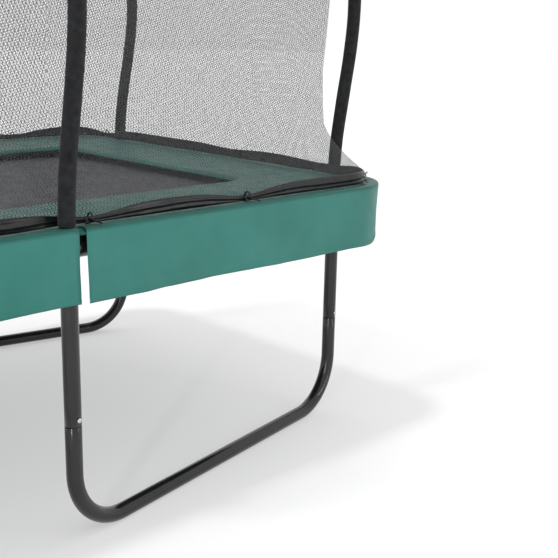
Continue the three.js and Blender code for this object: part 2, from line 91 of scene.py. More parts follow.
SLEEVE_BOTTOM, SLEEVE_TOP = (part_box("foam_sleeve_near_mid")[i][2] for i in (0, 1))
POLE_BOTTOM, POLE_TOP = (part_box("net_pole_near_mid")[i][2] for i in (0, 1))
POLE_BULGE = 0.062
BULGE_START = 1.200
BULGE_END = 1.900
POLE_TOP_OFFSET = 0.014
SEAM_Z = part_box("leg_post_near_mid")[0][2]
POST_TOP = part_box("leg_post_near_mid")[1][2]
LEG_BEND = 0.150
FRAME_Z = middle("frame_tube_right_end").z
FRAME_BEND = PAD_CORNER - 0.030
HEM_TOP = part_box("net_bottom_hem")[1][2]
NET_BOTTOM, NET_TOP = (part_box("enclosure_net")[i][2] for i in (0, 1))
TOP_BAND_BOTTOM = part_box("net_top_band")[0][2]
NET_FOOT_INSET = 0.044
NET_WAIST = 0.060
NET_TOP_GAP = 0.011
NET_TUCK = 0.012  # extra inset of the net's foot behind a pole
NET_TUCK_WIDTH = 0.05
NET_TUCK_PEAK = 0.014  # distance from a pole's axis at which the tuck is deepest
NET_STEP = 0.014  # between the net's columns
PULL_HEIGHT = 0.125  # scale height for the net leaving its foot's outline for lines from pole to pole
WAIST_Z = 1.02
OPENING_HEIGHT = 0.36  # scale height for the net spreading again above its waist
TIE_SHARE = 0.42  # share of the way from one pole to the next at which the second tie stands
PINCH_WIDTH = 0.10
PINCH_LONG_SIDE = 0.55
PINCH_END = 0.2
ZIP_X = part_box("zip_tape")[1][0] + 0.0005
ZIP_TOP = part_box("zip_tape")[1][2]
ZIP_HOLD_WIDTH = 0.17  # scale width, to each side, of the net that the zip holds straight
ZIP_SIDE_X = -0.9  # left of this the net belongs to the end with the zip
ZIP_HOLD_ABOVE = 0.25
ZIP_TOOTH_STEP = 0.0035
MAT_INSET = HALF_X - MAT_HIGH.x
MAT_MIDDLE = (MAT_LOW.z + MAT_HIGH.z) / 2
MAT_CORNER = 0.062
MAT_BAND = 0.026
MAT_DIP = 0.0030
SPRING_OUTER = 0.0525  # insets of a spring's two ends from the pad's outline
SPRING_INNER = 0.2165
SPRING_HOOK = 0.020
SPRING_PITCH = 0.0040
SPRING_COIL = 0.0068
SPRING_WIRE = 0.00155
RING_WIRE = 0.0015
COIL_STEPS = 9
LONG_HALF = HALF_X - 0.2965  # of the stretch that a row of springs fills
SHORT_HALF = HALF_Y - 0.2965


def link(thing):
    bpy.context.scene.collection.objects.link(thing)


# ---------------- camera
CAMERA_AT = Vector((-1.110, -2.494, 1.1455))
CAMERA_YAW = 0.7793
CAMERA_PITCH = 0.2513
CAMERA_ROLL = -0.0219
FOCAL_LENGTH = 64.25  # on a 36 mm sensor


def make_camera():
    sin_yaw, cos_yaw = math.sin(CAMERA_YAW), math.cos(CAMERA_YAW)
    sin_pitch, cos_pitch = math.sin(CAMERA_PITCH), math.cos(CAMERA_PITCH)
    forward = Vector((sin_yaw * cos_pitch, cos_yaw * cos_pitch, -sin_pitch))
    right = Vector((cos_yaw, -sin_yaw, 0))
    down = forward.cross(right)
    level_right = right * math.cos(CAMERA_ROLL) + down * math.sin(CAMERA_ROLL)
    level_down = down * math.cos(CAMERA_ROLL) - right * math.sin(CAMERA_ROLL)
    data = bpy.data.cameras.new("camera")
    data.sensor_width = 36
    data.lens = FOCAL_LENGTH
    data.clip_end = 100
    camera = bpy.data.objects.new("camera", data)
    axes = Matrix((level_right, -level_down, -forward)).transposed()
    camera.matrix_world = Matrix.Translation(CAMERA_AT) @ axes.to_4x4()
    link(camera)
    bpy.context.scene.camera = camera


make_camera()


# ---------------- materials
class Look:
    """A material built from nodes on a Principled shader."""

    def __init__(self, name, rough, metallic=0.0, specular=0.5):
        self.material = bpy.data.materials.new(name)
        self.material.use_nodes = True
        self.nodes = self.material.node_tree.nodes
        self.links = self.material.node_tree.links
        self.shader = self.nodes["Principled BSDF"]
        self.shader.inputs["Roughness"].default_value = rough
        self.shader.inputs["Metallic"].default_value = metallic
        self.shader.inputs["Specular IOR Level"].default_value = specular
        self.coords = self.nodes.new("ShaderNodeTexCoord")

    def noise(self, scale, detail=4.0, stretch=(1, 1, 1)):
        mapping = self.nodes.new("ShaderNodeMapping")
        mapping.inputs["Scale"].default_value = stretch
        texture = self.nodes.new("ShaderNodeTexNoise")
        texture.inputs["Scale"].default_value = scale
        texture.inputs["Detail"].default_value = detail
        self.links.new(self.coords.outputs["Object"], mapping.inputs["Vector"])
        self.links.new(mapping.outputs[0], texture.inputs["Vector"])
        return texture.outputs["Fac"]

    def cells(self, scale):
        texture = self.nodes.new("ShaderNodeTexVoronoi")
        texture.inputs["Scale"].default_value = scale
        self.links.new(self.coords.outputs["Object"], texture.inputs["Vector"])
        return texture.outputs["Distance"]

    def ramp(self, value, stops):
        ramp = self.nodes.new("ShaderNodeValToRGB")
        while len(ramp.color_ramp.elements) < len(stops):
            ramp.color_ramp.elements.new(0.5)
        for element, (at, colour) in zip(ramp.color_ramp.elements, stops):
            element.position = at
            element.color = (*colour, 1)
        self.links.new(value, ramp.inputs["Fac"])
        return ramp.outputs["Color"]

    def math(self, operation, first, second=0.0, third=0.0):
        node = self.nodes.new("ShaderNodeMath")
        node.operation = operation
        for socket, value in zip(node.inputs, (first, second, third)):
            if isinstance(value, (int, float)):
                socket.default_value = value
            else:
                self.links.new(value, socket)
        return node.outputs[0]

    def plus(self, first, second):
        return self.math("ADD", first, second)

    def times(self, first, second):
        return self.math("MULTIPLY", first, second)

    def sine(self, value, frequency=1.0):
        return self.math("SINE", self.times(value, frequency))

    def scaled(self, value, low, high):
        node = self.nodes.new("ShaderNodeMapRange")
        node.inputs["From Min"].default_value = 0.3
        node.inputs["From Max"].default_value = 0.7
        node.inputs["To Min"].default_value = low
        node.inputs["To Max"].default_value = high
        self.links.new(value, node.inputs["Value"])
        return node.outputs["Result"]

    def axes(self, source="Object"):
        split = self.nodes.new("ShaderNodeSeparateXYZ")
        self.links.new(self.coords.outputs[source], split.inputs[0])
        return split.outputs

    def colour(self, value):
        self.links.new(value, self.shader.inputs["Base Color"])

    def tint(self, value, dark, light, low=0.3, high=0.7):
        self.colour(self.ramp(value, [(low, dark), (high, light)]))

    def rough(self, value, low, high):
        self.links.new(self.scaled(value, low, high), self.shader.inputs["Roughness"])

    def bump(self, heights, strength=0.4):
        """heights is a list of (value, distance in metres)."""
        normal = None
        for value, distance in heights:
            bump = self.nodes.new("ShaderNodeBump")
            bump.inputs["Strength"].default_value = strength
            bump.inputs["Distance"].default_value = distance
            self.links.new(value, bump.inputs["Height"])
            if normal is not None:
                self.links.new(normal, bump.inputs["Normal"])
            normal = bump.outputs["Normal"]
        self.links.new(normal, self.shader.inputs["Normal"])


def steel_look():
    look = Look("black_powder_coat", 0.3, specular=0.35)
    look.shader.inputs["Coat Weight"].default_value = 0.2
    look.shader.inputs["Coat Roughness"].default_value = 0.12
    look.tint(look.noise(14), (0.006, 0.006, 0.0065), (0.012, 0.012, 0.0125))
    look.rough(look.noise(40, 5), 0.11, 0.2)
    look.bump([(look.noise(900, 2), 0.0002), (look.noise(25, 2), 0.0003)], 0.3)
    return look.material


def zinc_look():
    look = Look("zinc_plate", 0.3, metallic=0.92)
    light = (0.60, 0.61, 0.64)
    dark = tuple(0.72 * part for part in light)
    look.tint(look.noise(160), dark, light, high=0.65)
    look.rough(look.noise(300, 3), 0.2, 0.42)
    look.bump([(look.noise(700, 3), 0.0001)], 0.4)
    return look.material


def foam_look():
    look = Look("foam_tube", 0.85, specular=0.18)
    look.shader.inputs["Sheen Weight"].default_value = 0.06
    look.tint(look.noise(60, 6), (0.006, 0.0062, 0.007), (0.016, 0.0165, 0.018))
    look.rough(look.noise(80), 0.72, 0.95)
    look.bump([(look.cells(650), 0.0006), (look.noise(30, 3), 0.0008)], 0.5)
    return look.material


def vinyl_look(name, top_from, top_full):
    """top_from and top_full are the heights between which the hanging colour turns to the darker lying one,
    which is painted shade on the vinyl's top.
    """
    look = Look(name, 0.44, specular=0.3)
    look.shader.inputs["Sheen Weight"].default_value = 0.05
    # the hanging green is the vinyl's own colour; the darker lying green is painted shade on the same vinyl
    # where it lies flat
    hanging = look.ramp(look.noise(5, 5), [(0.3, (0.012, 0.128, 0.104)), (0.7, (0.021, 0.160, 0.134))])
    lying_painted_shade = look.ramp(look.noise(7, 5), [(0.3, (0.001, 0.064, 0.050)), (0.7, (0.004, 0.088, 0.070))])
    look.rough(look.noise(22, 5), 0.36, 0.55)
    x, y, z = look.axes()
    # mask by height for the painted shade on the vinyl's top
    painted_shade_mask = look.nodes.new("ShaderNodeMapRange")
    painted_shade_mask.inputs["From Min"].default_value = top_from
    painted_shade_mask.inputs["From Max"].default_value = top_full
    look.links.new(z, painted_shade_mask.inputs["Value"])
    both = look.nodes.new("ShaderNodeMixRGB")
    look.links.new(painted_shade_mask.outputs["Result"], both.inputs["Fac"])
    look.links.new(hanging, both.inputs["Color1"])
    look.links.new(lying_painted_shade, both.inputs["Color2"])
    look.colour(both.outputs["Color"])
    weave = look.times(look.sine(z, 3900), look.sine(look.plus(x, y), 3900))
    look.bump([(weave, 0.00012), (look.noise(35, 5, (1, 1, 0.35)), 0.0011), (look.noise(9, 3), 0.0015)], 0.45)
    return look.material


def mat_look():
    look = Look("woven_mat", 0.62, specular=0.4)
    x, y, _ = look.axes()
    weave = look.times(look.sine(x, 2600), look.sine(y, 2600))
    mix = look.plus(look.times(weave, 0.18), look.noise(12, 6))
    look.tint(mix, (0.017, 0.018, 0.021), (0.060, 0.062, 0.068), 0.2, 0.8)
    look.rough(look.noise(50), 0.5, 0.72)
    look.bump([(weave, 0.0005), (look.noise(6, 3), 0.0015)], 0.5)
    return look.material


def webbing_look():
    look = Look("black_webbing", 0.42, specular=0.5)
    x, y, z = look.axes()
    rib = look.sine(look.plus(look.plus(x, y), z), 2400)
    look.tint(look.noise(40, 5), (0.008, 0.0085, 0.009), (0.024, 0.025, 0.027))
    look.rough(look.noise(35, 5), 0.26, 0.55)
    look.bump([(rib, 0.0003), (look.noise(60, 4), 0.0016)], 0.5)
    return look.material


def hem_look():
    look = Look("black_hem_vinyl", 0.35, specular=0.35)
    look.tint(look.noise(30, 5), (0.003, 0.003, 0.0035), (0.009, 0.009, 0.0095))
    look.rough(look.noise(26, 5), 0.24, 0.48)
    look.bump([(look.noise(120, 4, (1, 1, 3)), 0.0009), (look.noise(40, 4, (1, 1, 2)), 0.0016)], 0.5)
    return look.material


def net_look():
    """Knitted mesh: slanting zigzag threads and threads that cross them, in the sheet's own metres."""
    look = Look("knitted_net", 0.7, specular=0.3)
    u, v, _ = look.axes("UV")
    turn = 2 * math.pi
    pitch = turn / 0.0076
    zigzag = look.times(look.sine(v, turn / 0.009), 1.2)
    along = look.plus(look.times(look.plus(u, look.times(v, 0.55)), pitch), zigzag)
    across = look.math("SUBTRACT", look.times(v, turn / 0.0054), look.times(u, pitch * 0.35))
    first = look.math("ABSOLUTE", look.sine(along, 0.5))
    second = look.math("ABSOLUTE", look.sine(across, 0.5))
    nearest = look.math("MINIMUM", first, look.plus(second, 0.12))
    uneven = look.times(look.math("SUBTRACT", look.noise(150, 3, (1, 1, 2.5)), 0.5), 0.5)
    cover = look.times(look.math("SUBTRACT", look.plus(uneven, 0.49), nearest), 3.7)
    alpha = look.math("MAXIMUM", look.math("SMOOTH_MIN", cover, 1.0, 0.1), 0.0)
    look.links.new(alpha, look.shader.inputs["Alpha"])
    look.tint(look.noise(120, 4), (0.036, 0.0365, 0.038), (0.082, 0.083, 0.085))
    look.rough(look.noise(90), 0.6, 0.8)
    return look.material


def plastic_look():
    look = Look("zip_plastic", 0.5)
    _, _, z = look.axes()
    tooth = look.sine(z, 1800)
    look.tint(look.noise(90), (0.008, 0.008, 0.009), (0.02, 0.02, 0.022))
    look.rough(look.noise(120), 0.4, 0.6)
    look.bump([(tooth, 0.0008)], 0.8)
    return look.material


STEEL = steel_look()
ZINC = zinc_look()
FOAM = foam_look()
# the pad's vinyl is all in the darker lying green, and the skirt's vinyl turns to it on its lap over the pad:
# painted shade on the vinyl's top
SHADED_PAD_VINYL = vinyl_look("pad_vinyl_painted_shade", PAD_BOTTOM - 0.02, PAD_BOTTOM - 0.01)
VINYL = vinyl_look("skirt_vinyl", PAD_TOP - 0.010, PAD_TOP - 0.002)
MAT_WEAVE = mat_look()
WEBBING = webbing_look()
HEM = hem_look()
NET = net_look()
PLASTIC = plastic_look()


# ---------------- mesh helpers
def circle(centre, side, up, radius, sides):
    angles = [2 * math.pi * k / sides for k in range(sides)]
    return [centre + side * (radius * math.cos(a)) + up * (radius * math.sin(a)) for a in angles]


def joined_rings(rings, sides, closed=False):
    """Quads from each ring of vertices to the next. closed joins the last ring to the first."""
    faces = []
    for i in range(rings if closed else rings - 1):
        j = (i + 1) % rings
        for k in range(sides):
            n = (k + 1) % sides
            faces.append((i * sides + k, i * sides + n, j * sides + n, j * sides + k))
    return faces


def end_caps(rings, sides):
    last = (rings - 1) * sides
    return [tuple(range(sides))[::-1], tuple(last + k for k in range(sides))]


def add_piece(name, vertices, faces, material, slot, body="frame", replaces=(), smooth=True):
    mesh = bpy.data.meshes.new(name)
    mesh.from_pydata([tuple(v) for v in vertices], [], faces)
    mesh.materials.append(material)
    mesh.polygons.foreach_set("use_smooth", [smooth] * len(mesh.polygons))
    mesh.update()
    piece = bpy.data.objects.new(name, mesh)
    link(piece)
    if body:
        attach(piece, body)
    if replaces:
        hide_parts(*replaces)
    return piece


def add_steel(name, part, replaced):
    add_piece(name, *part, STEEL, "black_steel", replaces=[replaced])


def frames_along(points):
    """A right-handed pair of cross directions at each point, turning as little as possible."""
    points = [Vector(p) for p in points]
    tangents = []
    for i in range(len(points)):
        ahead = points[min(i + 1, len(points) - 1)] - points[max(i - 1, 0)]
        tangents.append(ahead.normalized())
    side = tangents[0].orthogonal().normalized()
    pairs = []
    for tangent in tangents:
        side = (side - tangent * side.dot(tangent)).normalized()
        pairs.append((side, tangent.cross(side)))
    return points, pairs


def swept(points, pairs, radii, sides):
    vertices = []
    for point, (side, up), radius in zip(points, pairs, radii):
        vertices += circle(point, side, up, radius, sides)
    return vertices


def tube(points, radii, sides=28):
    """A closed tube along points. radii is one number, or one per point."""
    points, pairs = frames_along(points)
    if isinstance(radii, (int, float)):
        radii = [radii] * len(points)
    faces = joined_rings(len(points), sides) + end_caps(len(points), sides)
    return swept(points, pairs, radii, sides), faces


def merged(parts):
    vertices, faces = [], []
    for part_vertices, part_faces in parts:
        shift = len(vertices)
        vertices += part_vertices
        faces += [tuple(index + shift for index in face) for face in part_faces]
    return vertices, faces


def ring_walls(points, outer, inner, sides=28):
    """A tube with a bore: rims with a small bevel at both ends."""
    edge = min(0.0008, (outer - inner) / 3)
    first = (points[1] - points[0]).normalized()
    last = (points[-1] - points[-2]).normalized()
    loop = [points[0], points[0] + first * edge] + points[1:-1] + [points[-1] - last * edge, points[-1]]
    path = loop + loop[::-1]
    radii = [outer - edge] + [outer] * (len(loop) - 2) + [outer - edge]
    radii += [inner + edge] + [inner] * (len(loop) - 2) + [inner + edge]
    _, pairs = frames_along(loop)
    pairs = pairs + pairs[::-1]
    return swept(path, pairs, radii, sides), joined_rings(len(path), sides, closed=True)


def arc(centre, radius, start, end, steps):
    return [
        (centre[0] + radius * math.cos(start + (end - start) * i / steps),
         centre[1] + radius * math.sin(start + (end - start) * i / steps))
        for i in range(steps + 1)
    ]


def lathe(profile, sides=24):
    """profile is a list of (radius, height) from the axis to the axis, upward."""
    vertices = []
    for radius, height in profile:
        vertices += circle(Vector((0, 0, height)), Vector((1, 0, 0)), Vector((0, 1, 0)), radius, sides)
    return vertices, joined_rings(len(profile), sides) + end_caps(len(profile), sides)


def placed(part, matrix):
    vertices, faces = part
    return [matrix @ Vector(v) for v in vertices], faces


# ---------------- legs
def make_leg(name, first):
    """One U, from the seam under one post, along the floor, to the seam under the next post."""
    start, end = POLE_FEET[first], POLE_FEET[first + 1]
    along = (end - start).normalized()
    span = (end - start).length
    bend_z = TUBE_RADIUS + LEG_BEND
    profile = [(0, SEAM_Z + 0.045), (0, SEAM_Z - 0.0004)]
    profile += [(0, SEAM_Z - 0.0016), (0, SEAM_Z - 0.003), (0, (SEAM_Z + bend_z) / 2)]
    profile += arc((LEG_BEND, bend_z), LEG_BEND, math.pi, 1.5 * math.pi, 22)
    profile += arc((span - LEG_BEND, bend_z), LEG_BEND, 1.5 * math.pi, 2 * math.pi, 22)
    profile += [(span, (SEAM_Z + bend_z) / 2), (span, SEAM_Z - 0.003), (span, SEAM_Z - 0.0016)]
    profile += [(span, SEAM_Z - 0.0004), (span, SEAM_Z + 0.045)]
    neck = [0.0162, 0.0162, TUBE_RADIUS - 0.0007, TUBE_RADIUS]
    radii = neck + [TUBE_RADIUS] * (len(profile) - 8) + neck[::-1]
    points = [Vector((start.x + along.x * s, start.y + along.y * s, z)) for s, z in profile]
    add_steel("leg_tube_" + name, tube(points, radii, 36), "leg_" + name)


for number, leg in enumerate(("near_right", "far_right", "left_end")):
    make_leg(leg, 2 * number)


def make_post(index):
    name, foot = POLE_NAMES[index], POLE_FEET[index]
    points = [Vector((foot.x, foot.y, SEAM_Z + (POST_TOP - SEAM_Z) * i / 8)) for i in range(9)]
    walls = ring_walls(points, TUBE_RADIUS, TUBE_RADIUS - TUBE_WALL, 36)
    add_steel("post_" + name, walls, "leg_post_" + name)


def make_screw(index):
    """A round-headed screw with a small round recess, facing out of the plane of its leg."""
    name, foot = POLE_NAMES[index], POLE_FEET[index]
    partner = POLE_FEET[index + 1 if index % 2 == 0 else index - 1]
    span = partner - foot if index % 2 == 0 else foot - partner
    out = Vector((span.y, -span.x, 0)).normalized()
    profile = [(0.0001, -0.006), (0.0024, -0.006), (0.0024, 0), (0.0054, 0), (0.0058, 0.0004)]
    profile += [(0.0057, 0.0012), (0.0049, 0.0026), (0.0036, 0.0034), (0.0019, 0.0037)]
    profile += [(0.0017, 0.0029), (0.0005, 0.0024)]
    seat = Vector((foot.x, foot.y, middle("leg_screw_" + name).z)) + out * (TUBE_RADIUS + 0.0002)
    turn = Vector((0, 0, 1)).rotation_difference(out).to_matrix().to_4x4()
    part = placed(lathe(profile, 28), Matrix.Translation(seat) @ turn)
    add_piece("screw_" + name, *part, ZINC, "zinc_screw", replaces=["leg_screw_" + name])


for number in range(6):
    make_post(number)
    make_screw(number)


# ---------------- top frame
def make_tee(index):
    """A sleeve round the two frame tubes, a collar for the net pole, and a welded spigot in the post."""
    name, foot, out = POLE_NAMES[index], POLE_FEET[index], OUTWARD[index]
    along = Vector((-out[1], out[0], 0)) * TEE_REACH
    centre = Vector((foot.x, foot.y, FRAME_Z))

    def upright(*heights):
        return [Vector((foot.x, foot.y, z)) for z in heights]

    sleeve = ring_walls([centre - along, centre, centre + along], 0.0222, 0.0196, 32)
    collar_top = PAD_TOP - 0.002
    collar = ring_walls(upright(FRAME_Z + 0.018, collar_top - 0.01, collar_top), 0.0155, 0.0136)
    spigot = ring_walls(upright(POST_TOP - 0.045, POST_TOP, FRAME_Z - TUBE_RADIUS), 0.0164, 0.0148)
    weld = tube(upright(*(POST_TOP + t for t in (0.0005, 0.002, 0.0045, 0.006))),
                [0.0172, 0.0188, 0.0188, 0.0165])
    add_steel("tee_" + name, merged([sleeve, collar, spigot, weld]), "frame_tee_" + name)


def make_frame_tubes():
    edge_x, edge_y = POLE_FEET[1].x, -POLE_FEET[0].y
    end_y = -POLE_FEET[1].y
    centre = (edge_x - FRAME_BEND, edge_y - FRAME_BEND)
    for name, (sx, sy) in CORNERS.items():
        profile = [(TUBE_END_GAP, edge_y), (0.3, edge_y), (0.6, edge_y)]
        profile += arc(centre, FRAME_BEND, math.pi / 2, 0, 24) + [(edge_x, end_y + TUBE_END_GAP)]
        points = [Vector((sx * x, sy * y, FRAME_Z)) for x, y in profile]
        walls = ring_walls(points, TUBE_RADIUS, TUBE_RADIUS - TUBE_WALL, 32)
        add_steel("corner_tube_" + name, walls, "frame_tube_" + name)
    for name, sx in (("right_end", 1), ("left_end", -1)):
        points = [Vector((sx * edge_x, y * (end_y - TUBE_END_GAP), FRAME_Z)) for y in (-1, -0.4, 0.4, 1)]
        walls = ring_walls(points, TUBE_RADIUS, TUBE_RADIUS - TUBE_WALL, 32)
        add_steel("end_tube_" + name, walls, "frame_tube_" + name)


for number in range(6):
    make_tee(number)
make_frame_tubes()


# ---------------- poles, sleeves and caps
def smooth(t):
    t = min(max(t, 0.0), 1.0)
    return t * t * (3 - 2 * t)


def pole_offset(z):
    rise = smooth((z - SLEEVE_BOTTOM) / (BULGE_START - SLEEVE_BOTTOM))
    lean = smooth((z - BULGE_END) / (2 * (SLEEVE_TOP - BULGE_END)))
    return POLE_BULGE * rise - 2 * (POLE_BULGE - POLE_TOP_OFFSET) * lean


def pole_point(index, z):
    foot, out = POLE_FEET[index], OUTWARD[index]
    offset = pole_offset(z)
    return Vector((foot.x + out[0] * offset, foot.y + out[1] * offset, z))


def make_pole(index):
    name = POLE_NAMES[index]
    heights = np.linspace(POLE_BOTTOM + 0.001, POLE_TOP - 0.001, 60)
    walls = ring_walls([pole_point(index, z) for z in heights], POLE_RADIUS, POLE_RADIUS - TUBE_WALL, 24)
    add_steel("pole_" + name, walls, "net_pole_" + name)


def make_sleeve(index):
    """A foam sleeve, a little uneven along its length, with a soft rim at each end. It is a closed
    solid, and the pole runs inside it."""
    name = POLE_NAMES[index]
    heights = [SLEEVE_BOTTOM + t for t in (0, 0.0006, 0.002, 0.004)]
    heights += list(np.linspace(SLEEVE_BOTTOM + 0.012, SLEEVE_TOP - 0.012, 110))
    heights += [SLEEVE_TOP - t for t in (0.004, 0.002, 0.0006, 0)]
    rim = [0.0155, 0.0172, 0.0181, SLEEVE_RADIUS]
    radii = rim + [SLEEVE_RADIUS] * (len(heights) - 8) + rim[::-1]
    points = [pole_point(index, z) for z in heights]
    sides = 40
    vertices, faces = tube(points, radii, sides)
    moved = []
    for number, vertex in enumerate(vertices):
        centre = points[number // sides]
        ripple = 0.0007 * noise.noise(Vector((vertex.x * 30, vertex.y * 30, vertex.z * 9 + index * 5)))
        moved.append(vertex + (vertex - centre).normalized() * ripple)
    add_piece("sleeve_" + name, moved, faces, FOAM, "foam_sleeve", replaces=["foam_sleeve_" + name])


def make_cap(index):
    """A rounded plastic cap with a hook on its inner side. Nothing modelled hangs on the hook."""
    top = pole_point(index, POLE_TOP)
    out = Vector((*OUTWARD[index], 0))
    profile = [(0.0001, -0.022), (0.0140, -0.022), (0.0152, -0.021), (0.0155, -0.012), (0.0155, 0.001)]
    profile += [(0.0148, 0.004), (0.0122, 0.0062), (0.0075, 0.0074), (0.0001, 0.0078)]
    dome = placed(lathe(profile, 28), Matrix.Translation(top))
    hook = [top - out * 0.013 + Vector((0, 0, z)) - out * d
            for d, z in ((0, -0.016), (0.006, -0.017), (0.010, -0.013), (0.011, -0.006), (0.010, -0.001))]
    cap = merged([dome, tube(hook, 0.0024, 12)])
    add_piece("pole_cap_" + POLE_NAMES[index], *cap, PLASTIC, "zip_plastic")


for number in range(6):
    make_pole(number)
    make_sleeve(number)
    make_cap(number)


# ---------------- outlines
def outline(inset, radius, step=0.012):
    """The pad's outline moved in by inset, anticlockwise from the left of the near side.
    Every outline made with one step has the same number of points on each stretch."""
    half_x, half_y = HALF_X - inset, HALF_Y - inset
    long_count = round((2 * HALF_X - 2 * PAD_CORNER) / step)
    short_count = round((2 * HALF_Y - 2 * PAD_CORNER) / step)
    corner_count = round(PAD_CORNER * math.pi / 2 / step)
    points = []
    corners = [(half_x - radius, -half_y + radius), (half_x - radius, half_y - radius),
               (-half_x + radius, half_y - radius), (-half_x + radius, -half_y + radius)]
    for number, centre in enumerate(corners):
        before = corners[number - 1]
        turn = -math.pi / 2 + number * math.pi / 2
        out = Vector((math.cos(turn), math.sin(turn)))
        count = long_count if number % 2 == 0 else short_count
        start, end = Vector(before) + out * radius, Vector(centre) + out * radius
        points += [start.lerp(end, i / count) for i in range(count)]
        bend = arc(centre, radius, turn, turn + math.pi / 2, corner_count)
        points += [Vector(p) for p in bend[:-1]]
    return points


def beside_pole(index, inset=0.0):
    """The point level with a pole on the straight side that is moved in by inset."""
    foot, out = POLE_FEET[index], OUTWARD[index]
    return Vector(((HALF_X - inset) * out[0] or foot.x, (HALF_Y - inset) * out[1] or foot.y))


def nearest_index(loop, point):
    return min(range(len(loop)), key=lambda k: (loop[k] - point).length)


def waves(x, y, scale, seed):
    return noise.noise(Vector((x * scale, y * scale, seed)))


# ---------------- safety pad
def make_pad():
    """One foam ring in a sewn cover: rounded at its edges, with low lumps across its top."""
    outer = outline(0.0015, PAD_CORNER - 0.0015)
    inner = outline(PAD_BAND, PAD_INNER_CORNER)
    thick = PAD_TOP - PAD_BOTTOM
    across = list(np.linspace(0, 1, 27))
    section = []
    for t in across:
        edge = min(t, 1 - t) * PAD_BAND
        fall = 0.5 * thick * max(0.0, 1 - edge / 0.011) ** 2
        section.append((t, PAD_TOP - fall, True))
    for t in across[::-1][::2]:
        edge = min(t, 1 - t) * PAD_BAND
        rise = 0.45 * thick * max(0.0, 1 - edge / 0.011) ** 2
        section.append((t, PAD_BOTTOM + rise, False))
    vertices = []
    for t, z, is_top in section:
        for far, near in zip(outer, inner):
            point = far.lerp(near, t)
            height = z
            if is_top and 0.02 < t < 0.98:
                lump = 0.0022 * waves(point.x, point.y, 7, 3) + 0.0011 * waves(point.x, point.y, 24, 8)
                height += min(lump, 0.0008) - 0.0026 * (1 - math.sin(math.pi * t))
            vertices.append((point.x, point.y, height))
    faces = [face[::-1] for face in joined_rings(len(section), len(outer), closed=True)]
    pad = add_piece("padded_ring", vertices, faces, SHADED_PAD_VINYL, "green_vinyl", replaces=["safety_pad"])
    cut_slots(pad)


def cut_slots(pad):
    """The notch for each pole: a round hole, open to the pad's edge through a slit."""
    parts = []
    for foot, out in zip(POLE_FEET, OUTWARD):
        outward = Vector(out)
        side = Vector((-outward.y, outward.x))
        mouth = foot + outward * 0.06 + side * SLIT_SHIFT * 1.6
        plan = [mouth + side * SLOT_HALF_WIDTH, mouth - side * SLOT_HALF_WIDTH]
        base = math.atan2(outward.y, outward.x)
        opening = math.pi / 2 - math.acos(SLOT_HALF_WIDTH / SLOT_RADIUS)
        for i in range(17):
            angle = base - opening - (2 * math.pi - 2 * opening) * i / 16
            plan.append(foot + Vector((math.cos(angle), math.sin(angle))) * SLOT_RADIUS)
        count = len(plan)
        low_ring = [Vector((p.x, p.y, PAD_BOTTOM - 0.02)) for p in plan]
        high_ring = [Vector((p.x, p.y, PAD_TOP + 0.02)) for p in plan]
        walls = [(k, k + count, (k + 1) % count + count, (k + 1) % count) for k in range(count)]
        caps = [tuple(range(count)), tuple(count + k for k in range(count))[::-1]]
        parts.append((low_ring + high_ring, walls + caps))
    vertices, faces = merged(parts)
    mesh = bpy.data.meshes.new("slot_cutter")
    mesh.from_pydata([tuple(v) for v in vertices], [], faces)
    mesh.validate()
    cutter = bpy.data.objects.new("slot_cutter", mesh)
    link(cutter)
    boolean = pad.modifiers.new("slots", "BOOLEAN")
    boolean.operation = "DIFFERENCE"
    boolean.object = cutter
    boolean.solver = "EXACT"
    depsgraph = bpy.context.evaluated_depsgraph_get()
    pad.data = bpy.data.meshes.new_from_object(pad.evaluated_get(depsgraph))
    pad.modifiers.clear()
    bpy.data.objects.remove(cutter)


make_pad()


# ---------------- skirts
def skirt_run(index):
    """The points of the outer outline from one pole's slit to the next one's."""
    loop = outline(0.0, PAD_CORNER, 0.007)
    following = (index + 1) % 6
    along_a, along_b = (Vector((-OUTWARD[k][1], OUTWARD[k][0])) for k in (index, following))
    starts = beside_pole(index) + along_a * SLIT_SHIFT
    ends = beside_pole(following) + along_b * SLIT_SHIFT
    a, b = nearest_index(loop, starts), nearest_index(loop, ends)
    count = (b - a) % len(loop)
    points = [loop[(a + k) % len(loop)] for k in range(3, count - 2)]
    return [starts + along_a * SLIT / 2] + points + [ends - along_b * SLIT / 2]


